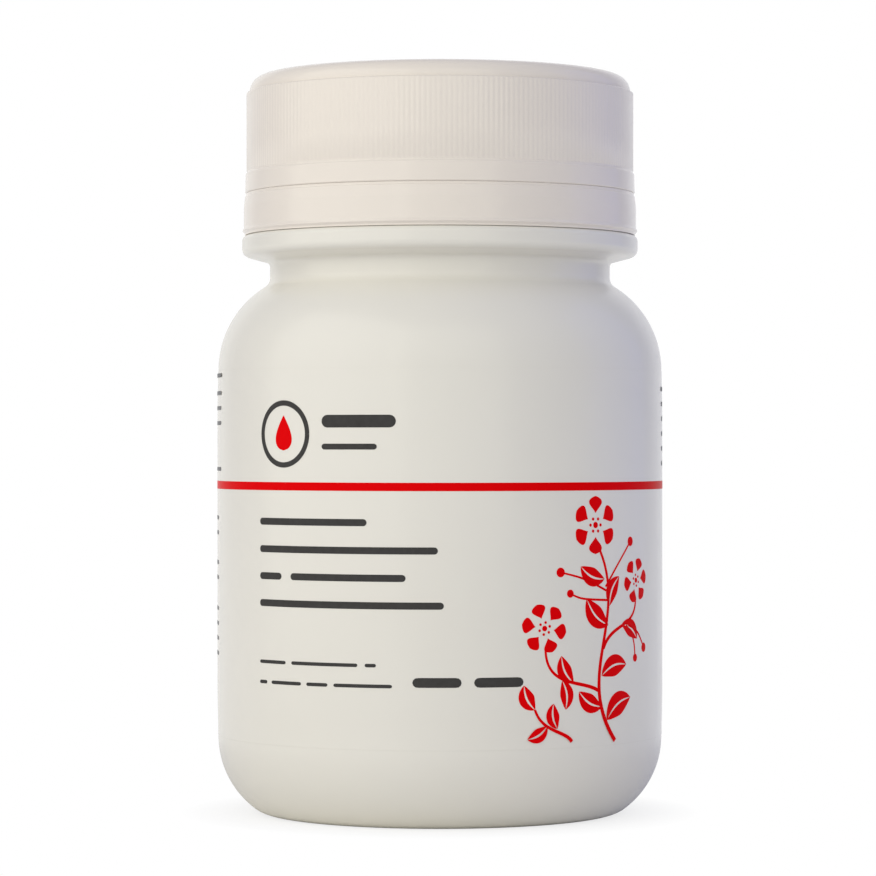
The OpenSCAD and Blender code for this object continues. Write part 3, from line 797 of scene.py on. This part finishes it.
def bar(x, z, length, thickness):
    """A bar with round ends that starts at x: its half width is the height of a circle at each end."""
    t = np.linspace(0, 1, max(13, int(length / 0.35)))
    t = 0.5 - 0.5 * np.cos(math.pi * t)
    half = thickness / 2
    inset = np.clip(np.minimum(t, 1 - t) * length / half, 0, 1)
    width = half * np.sqrt(np.clip(1 - (1 - inset) ** 2, 0.003, 1))
    return strip(np.column_stack([x + length * t, z + 0 * t]), -width, width)


def dot(x, z, radius):
    """A round dot: a bar that is as long as it is thick."""
    return bar(x - radius, z, 2 * radius, 2 * radius)


def curve(start, start_pull, end_pull, end, count=28):
    """A cubic Bezier line: the four points weighted by (1-t)^3, 3t(1-t)^2, 3t^2(1-t) and t^3."""
    t = np.linspace(0, 1, count)[:, None]
    points = [np.asarray(p, float) for p in (start, start_pull, end_pull, end)]
    weights = [(1 - t) ** 3, 3 * t * (1 - t) ** 2, 3 * t ** 2 * (1 - t), t ** 3]
    return sum(weight * point for weight, point in zip(weights, points))


def stroke(line, start_width, end_width):
    """A line of ink along a curve, whose width changes evenly from its start to its end."""
    half = np.linspace(start_width, end_width, len(line)) / 2
    return strip(line, -half, half)


def ray(x, z, angle_deg, start, end, count=MOTIF_STEPS):
    """Points straight out from (x, z) at an angle, from one distance to another."""
    a = math.radians(angle_deg)
    return np.array([x, z]) + np.linspace(start, end, count)[:, None] * np.array([math.cos(a), math.sin(a)])


# %% Wind flat strips onto the film
INK_GAP = 0.004
INK = 0.016


def printed(name, strips, ink):
    """Winds strips onto the film: a flat point (x, z) goes to angle x / radius and height z."""
    starts = np.cumsum([0] + [grid.shape[0] * grid.shape[1] for grid in strips])
    faces = np.vstack([grid_faces(*grid.shape[:2]) + start for grid, start in zip(strips, starts)])
    x, z = np.vstack([grid.reshape(-1, 2) for grid in strips]).T
    radius = label_r + INK_GAP
    wound = np.column_stack([radius * np.sin(x / label_r), -radius * np.cos(x / label_r), z])
    a, b, c = (wound[faces[:, k]] for k in range(3))
    facing_in = (np.cross(b - a, c - a)[:, :2] * a[:, :2]).sum(axis=1) < 0
    faces[facing_in] = faces[facing_in][:, ::-1]
    mesh = bpy.data.meshes.new(name)
    mesh.from_pydata((wound * MM).tolist(), [], faces.tolist())
    mesh.update()
    piece = bpy.data.objects.new(name, mesh)
    scene.collection.objects.link(piece)
    skin = piece.modifiers.new("ink", "SOLIDIFY")
    skin.thickness = INK * MM
    skin.offset = 1
    finish_piece(piece, "jar_body", "label_film", ink)
    print(f"{name}: {len(strips)} strips, {len(faces)} faces")


def around(angle_deg):
    """Distance along the label, in millimetres, from the middle of the front to that angle."""
    return label_r * np.radians(angle_deg)


# %% [markdown]
# The inks are cured screen inks, dense and even. A faint patchiness at half a millimetre is where the
# screen laid a little less ink. Their specular level is kept very low, because ink under a varnish
# doesn't shine by itself, and the red then stays deep.

# %% Inks
def printing_ink(name, colour, thin_colour):
    """A screen ink: nearly even, a little thinner in places."""
    material, tree, shader, place = new_material(name)
    patches = add_node(tree, "ShaderNodeTexNoise", {"Vector": place, "Scale": per_mm(0.6), "Detail": 4.0})
    tone = add_node(tree, "ShaderNodeMix", {"Factor": patches.outputs["Fac"], "A": linear(colour),
                                            "B": linear(thin_colour)}, data_type="RGBA")
    tree.links.new(tone.outputs["Result"], shader.inputs["Base Color"])
    shader.inputs["Roughness"].default_value = 0.32
    shader.inputs["Specular IOR Level"].default_value = 0.02
    return material


red_ink = printing_ink("red_screen_ink", "#E80004", "#E2020A")
dark_ink = printing_ink("dark_grey_screen_ink", "#3E3D3C", "#4A4948")
small_ink = printing_ink("mid_grey_screen_ink", "#6C6C6E", "#78787A")

# %% The stripe that runs all the way round, until the film's lap covers both its ends
STRIPE_Z = 35.3
STRIPE_WIDTH = 0.85
STRIPE_END_DEG = 178

stripe_x = around(np.linspace(-STRIPE_END_DEG, STRIPE_END_DEG, 357))
half_stripe = np.full(len(stripe_x), STRIPE_WIDTH / 2)
stripe_line = np.column_stack([stripe_x, STRIPE_Z + 0 * stripe_x])
printed("stripe", [strip(stripe_line, -half_stripe, half_stripe)], red_ink)

# %% [markdown]
# ### Bars for words, and a plain mark
#
# Where such a jar has words, this one has bars, one for each word, at the height and length of the
# lines. Designers lay out a pack this way before its words are known. Over them stands a plain mark:
# a ring with a drop in it, as the jar's content is a liquid.

# %% Bars for the front's lines
TEXT_LEFT = -21.4
TITLE_BAR = 0.72
SMALL_BAR = 0.36
VOLUME_BAR = 1.0
VOLUME_X = -2.8

# Each line: its height, and the length of each of its words and of the gap before it
title_lines = [
    (31.65, [(0, 13.8)]),
    (28.8, [(0, 21.2)]),
    (26.0, [(0, 3.4), (1.3, 13.2)]),
    (23.2, [(0, 21.8)]),
]
small_lines = [
    (17.1, [(0, 4.0), (0.8, 8.0), (0.8, 1.2)]),
    (15.0, [(0, 1.2), (0.7, 4.2), (0.7, 2.6), (0.7, 6.4)]),
]


def word_bars(left, lines, thickness):
    """One bar a word: each starts where the word before it ended, plus its gap."""
    bars = []
    for z, words in lines:
        x = left
        for gap, length in words:
            bars.append(bar(x + gap, z, length, thickness))
            x += gap + length
    return bars


front_bars = word_bars(TEXT_LEFT, title_lines, TITLE_BAR)
front_bars += word_bars(TEXT_LEFT, small_lines, SMALL_BAR)
front_bars += word_bars(VOLUME_X, [(15.4, [(0, 5.0), (1.3, 5.2)])], VOLUME_BAR)
printed("front_bars", front_bars, dark_ink)

# %% The plain mark
MARK_X = -17.7
MARK_Z = 40.7
MARK_R = 3.2
MARK_LINE = 0.55
MARK_BARS_X = -12.7

ring_turn = np.radians(np.linspace(0, 360, 73))
ring_line = np.array([MARK_X, MARK_Z]) + MARK_R * np.column_stack([np.cos(ring_turn), np.sin(ring_turn)])
half_line = np.full(len(ring_line), MARK_LINE / 2)
mark_bars = [bar(MARK_BARS_X, 42.0, 8.2, 1.3), bar(MARK_BARS_X, 39.4, 6.2, 0.6)]
printed("plain_mark", [strip(ring_line, -half_line, half_line)] + mark_bars, dark_ink)

# The drop's half width is 1.15 * sin(pi t^0.6)^0.9, with t from its foot to its tip
DROP_STEPS = 30
drop_line = ray(MARK_X, MARK_Z - 1.7, 90, 0, 3.6, DROP_STEPS)
drop_half = 1.15 * np.sin(math.pi * np.linspace(0, 1, DROP_STEPS) ** 0.6) ** 0.9 + 0.01
printed("mark_drop", [strip(drop_line, -drop_half, drop_half)], red_ink)

# %% [markdown]
# ### The sprig
#
# A sprig of small blossoms stands at the right of the front. It is built from three motifs: a leaf of
# two halves with the bare midrib between them, a blossom of round petals about a ring of dots, and a
# berry on a stalk. Each is a few strips whose width follows a sine, so the ends come to a point.

# %% Leaf, blossom and berry
def half_leaf(base, angle_deg, length, width, gap, side):
    """Half a leaf: from the midrib's gap out to gap plus width * sin(pi t)^0.8, on one side."""
    t = np.linspace(0, 1, MOTIF_STEPS)
    a = math.radians(angle_deg)
    ahead, across = np.array([math.cos(a), math.sin(a)]), np.array([-math.sin(a), math.cos(a)])
    bend = 0.12 * length * np.sin(math.pi * t)[:, None] * across
    line = np.asarray(base, float) + (length * t)[:, None] * ahead + bend
    swell = np.clip(np.sin(math.pi * t), 0, 1) ** 0.8
    inner = side * (gap / 2 * swell + 0.005)
    return strip(line, inner, inner + side * (width / 2 * swell + 0.01))


def leaf(base, angle_deg, length, width, gap=0.22):
    """A leaf of two halves, with its bare midrib between them."""
    return [half_leaf(base, angle_deg, length, width, gap, side) for side in (-1, 1)]


def petal(x, z, angle_deg, start, end, width):
    """A round petal: its half width is a sine that leans outwards, width / 2 * sin(pi t^1.6)."""
    t = np.linspace(0, 1, MOTIF_STEPS)
    half = width / 2 * np.clip(np.sin(math.pi * t ** 1.6), 0, 1) ** 0.75 + 0.02
    return strip(ray(x, z, angle_deg, start, end), -half, half)


def blossom(x, z, radius, turn_deg, petals=6):
    """Petals round a ring of dots, with a bare eye between them."""
    angles = turn_deg + 360 / petals * np.arange(petals)
    marks = [petal(x, z, angle, 0.42 * radius, radius, 0.6 * radius) for angle in angles]
    seeds = [ray(x, z, angle + 180 / petals, 0.24 * radius, radius)[0] for angle in angles]
    marks += [dot(*seed, 0.055 * radius) for seed in seeds]
    return marks + [dot(x, z, 0.11 * radius)]


def berry(start, pull, end, radius):
    """A thin stalk that ends in a dot."""
    return [stroke(curve(start, pull, pull, end), 0.24, 0.2), dot(*end, radius)]


# %% Put the sprig together, about its own foot
SPRIG_X = 17.6
SPRIG_Z = 8.9

main_stem = curve((3.0, 0.0), (-3.6, 7.2), (5.6, 12.8), (0.1, 20.6), 48)
right_stem = curve((1.15, 9.6), (2.4, 12.4), (6.6, 11.4), (6.9, 14.4))
left_stem = curve((0.6, 5.2), (-1.8, 6.6), (-6.2, 5.6), (-6.4, 9.6))
low_stem = curve((-3.2, 0.2), (-4.0, 1.4), (-6.8, 1.2), (-7.6, 3.6))
sprig = [stroke(main_stem, 0.5, 0.3), stroke(right_stem, 0.4, 0.26), stroke(left_stem, 0.4, 0.26),
         stroke(low_stem, 0.4, 0.26)]
sprig += blossom(0.0, 22.4, 3.0, 30)
sprig += blossom(7.0, 16.5, 2.4, 10)
sprig += blossom(-6.5, 11.9, 2.6, 50)
# Each leaf: its foot, its direction in degrees, its length and its width
leaves = [
    ((1.7, 2.2), 28, 4.6, 2.2), ((0.9, 3.6), 152, 3.6, 1.7), ((0.9, 6.8), 14, 4.2, 2.0),
    ((1.9, 12.0), 138, 4.2, 2.0), ((2.1, 14.0), 62, 3.4, 1.5), ((1.3, 16.8), 158, 3.6, 1.7),
    ((4.2, 12.0), -28, 3.4, 1.6), ((-3.0, 6.2), 118, 3.2, 1.5), ((-4.4, 6.5), -82, 3.0, 1.4),
    ((-5.0, 1.6), 100, 2.6, 1.3), ((-7.6, 3.6), 116, 2.8, 1.5), ((-6.2, 1.9), -150, 2.6, 1.2),
]
sprig += [half for place in leaves for half in leaf(*place)]
sprig += berry((1.6, 15.6), (-1.8, 17.0), (-4.6, 17.6), 0.5)
sprig += berry((1.8, 14.6), (-2.0, 14.8), (-3.4, 15.4), 0.42)
sprig += berry((1.5, 16.0), (3.4, 18.2), (5.8, 20.6), 0.5)
sprig += berry((5.4, 11.9), (7.4, 11.2), (8.8, 9.4), 0.5)
sprig += berry((5.0, 11.9), (6.6, 10.4), (6.8, 8.4), 0.42)
sprig_place = np.array([SPRIG_X, SPRIG_Z])
printed("sprig", [marks + sprig_place for marks in sprig], red_ink)

# %% [markdown]
# ### Small print round the sides and the back
#
# The small print of a pack runs round its sides and back. Here it is fine bars again, word by word,
# with lengths from a seeded random run so that the same jar comes out each time.

# %% Fine bars at the sides and the back
FINE_BAR = 0.42
FINE_GAP = 0.8
random = np.random.default_rng(7)


def fine_lines(left_deg, right_deg, heights, flush_right=False):
    """Lines of short bars between two angles, with word lengths of 1.2 to 6 mm and even gaps."""
    left, right = around(left_deg), around(right_deg)
    bars = []
    for z in heights:
        lengths = random.uniform(1.2, 6.0, 24)
        ends = np.cumsum(lengths + FINE_GAP)
        count = int(np.searchsorted(ends, right - left))
        shift = right - left - ends[count - 1] + FINE_GAP if flush_right else 0
        bars += [bar(left + shift + end - FINE_GAP - length, z, length, FINE_BAR)
                 for end, length in zip(ends[:count], lengths[:count])]
    return bars


left_block = fine_lines(-150, -76, (47.0, 45.1, 43.5, 41.9, 37.0), flush_right=True)
left_block += fine_lines(-150, -80, (31.8, 30.2, 27.0, 25.4, 22.1, 20.5, 18.9, 17.3), flush_right=True)
right_block = fine_lines(98, 150, (31.8, 30.2, 28.6, 27.0, 23.8, 22.2, 20.6, 17.4, 15.8))
right_block += [bar(around(80.5), 37.6 + 1.59 * k, 1.3, 0.5) for k in range(6)]
printed("fine_bars", left_block + right_block, small_ink)

# %% A ruled panel at the back
PANEL_LEFT_DEG = 100
PANEL_RIGHT_DEG = 148
PANEL_RULE = 0.25
panel_left, panel_right = around(PANEL_LEFT_DEG), around(PANEL_RIGHT_DEG)
panel_rules = [bar(panel_left, z, panel_right - panel_left, PANEL_RULE)
               for z in (46.4, 43.0, 40.6, 38.2)]
printed("ruled_panel", panel_rules, small_ink)

# %% [markdown]
# ## The studio
#
# The floor is white paper, and the backdrop is white too. Both are white because the camera's own rays
# see them so, not because more light falls on them: the light on the jar stays at a plain level.
# Reflections see the white only where it really is, behind the jar, so the jar's edges get a narrow
# bright rim and the middle keeps its own colour. Near the jar the floor's white glow thins out, so its
# real shadow shows there, and the thinner glow also paints a faint grey shadow ring round the jar.

# %% How much white a ray sees
def white_share(tree, seen_share, gloss_share):
    """Camera and transmission rays see the white by one share, and glossy rays by another."""
    rays = add_node(tree, "ShaderNodeLightPath").outputs
    seen = add_node(tree, "ShaderNodeMath", {0: rays["Is Camera Ray"], 1: rays["Is Transmission Ray"]},
                    operation="MAXIMUM").outputs[0]
    seen = add_node(tree, "ShaderNodeMath", {0: seen, 1: seen_share}, operation="MULTIPLY").outputs[0]
    gloss = add_node(tree, "ShaderNodeMath", {0: rays["Is Glossy Ray"], 1: gloss_share},
                     operation="MULTIPLY").outputs[0]
    return add_node(tree, "ShaderNodeMath", {0: seen, 1: gloss}, operation="MAXIMUM").outputs[0]


# %% The floor, with the shares of its glow changing between two distances from the jar's axis, in metres: the thinner glow near the jar is a painted shadow ring
FLOOR_SIDE = 2.0
SHADOW_FROM, SHADOW_TO = 0.017, 0.028
SHADOW_SHARE = 0.7
GLOSS_FROM, GLOSS_TO = 0.025, 0.12

floor_mesh = bpy.data.meshes.new("floor")
floor_corners = [(x * FLOOR_SIDE, y * FLOOR_SIDE, 0) for x, y in ((-1, -1), (1, -1), (1, 1), (-1, 1))]
floor_mesh.from_pydata(floor_corners, [], [(0, 1, 2, 3)])
floor = bpy.data.objects.new("floor", floor_mesh)
scene.collection.objects.link(floor)

floor_paper, tree, shader, place = new_material("white_paper_floor")
shader.inputs["Base Color"].default_value = linear("#F3F2EE")
shader.inputs["Roughness"].default_value = 0.9
shader.inputs["Specular IOR Level"].default_value = 0.0
glow = add_node(tree, "ShaderNodeEmission", {"Color": (1, 1, 1, 1), "Strength": 1.0})
away = add_node(tree, "ShaderNodeVectorMath", {0: place}, operation="LENGTH").outputs["Value"]
# Painted shadow: camera rays see less glow near the jar, so a grey ring lies round it, with the real shadow
# showing through
seen_share = add_node(tree, "ShaderNodeMapRange", {"Value": away, "From Min": SHADOW_FROM,
                                                   "From Max": SHADOW_TO,
                                                   "To Min": SHADOW_SHARE}).outputs[0]
# Painted shade in reflections: glossy rays see no glow near the jar
gloss_share = add_node(tree, "ShaderNodeMapRange", {"Value": away, "From Min": GLOSS_FROM,
                                                    "From Max": GLOSS_TO}).outputs[0]
white = white_share(tree, seen_share, gloss_share)
mix = add_node(tree, "ShaderNodeMixShader", {0: white, 1: shader.outputs["BSDF"], 2: glow.outputs[0]})
tree.links.new(mix.outputs[0], tree.nodes["Material Output"].inputs["Surface"])
floor.data.materials.append(floor_paper)

# %% The room's light and the white backdrop
AMBIENT = 0.5
BACKDROP_EDGE = 0.66
BACKDROP_FULL = 0.86

world = bpy.data.worlds.new("studio")
world.use_nodes = True
scene.world = world
tree = world.node_tree
tree.nodes.clear()
room = add_node(tree, "ShaderNodeBackground", {"Color": linear("#ECEEFF"), "Strength": AMBIENT})
backdrop = add_node(tree, "ShaderNodeBackground", {"Color": (1, 1, 1, 1), "Strength": 1.0})
direction = add_node(tree, "ShaderNodeTexCoord").outputs["Generated"]
split = add_node(tree, "ShaderNodeSeparateXYZ", {0: direction})
behind = add_node(tree, "ShaderNodeMapRange", {"Value": split.outputs["Y"], "From Min": BACKDROP_EDGE,
                                               "From Max": BACKDROP_FULL}).outputs[0]
mix = add_node(tree, "ShaderNodeMixShader", {0: white_share(tree, 1.0, behind), 1: room.outputs[0],
                                             2: backdrop.outputs[0]})
add_node(tree, "ShaderNodeOutputWorld", {"Surface": mix.outputs[0]})
print("room light:", AMBIENT)

# %% [markdown]
# A large softbox stands upright at the left of the camera, and its right edge shows as a soft upright
# line on the jar's wall. A second one behind the camera is weaker and keeps the middle bright. A cool
# fill from the right rear keeps the shadow side from going flat. The camera sees none of the three.
# The white floor throws light back up under the flange and the base, so these need no lamp of their own.

# %% The lamps
def softbox(name, azimuth_deg, distance, width, height, radiance, colour):
    """An upright rectangular lamp that faces the jar; its power is pi times its area times its radiance."""
    data = bpy.data.lights.new(name, "AREA")
    data.shape = "RECTANGLE"
    data.size = width
    data.size_y = height
    data.energy = math.pi * width * height * radiance
    data.color = linear(colour)[:3]
    lamp = bpy.data.objects.new(name, data)
    a = math.radians(azimuth_deg)
    away_from_jar = Vector((math.sin(a), -math.cos(a), 0))
    lamp.location = distance * away_from_jar + Vector((0, 0, height / 2))
    lamp.rotation_euler = away_from_jar.to_track_quat("Z", "Y").to_euler()
    lamp.visible_camera = False
    scene.collection.objects.link(lamp)
    print(f"{name}: {data.energy:.2f} W")


softbox("key_softbox", -58, 0.6, 0.97, 0.86, 1.07, "#FFFCED")
softbox("front_softbox", 5, 0.8, 0.9, 0.9, 0.77, "#FFFEE9")
softbox("cool_fill", 105, 0.6, 0.5, 0.7, 0.41, "#4A6CFF")
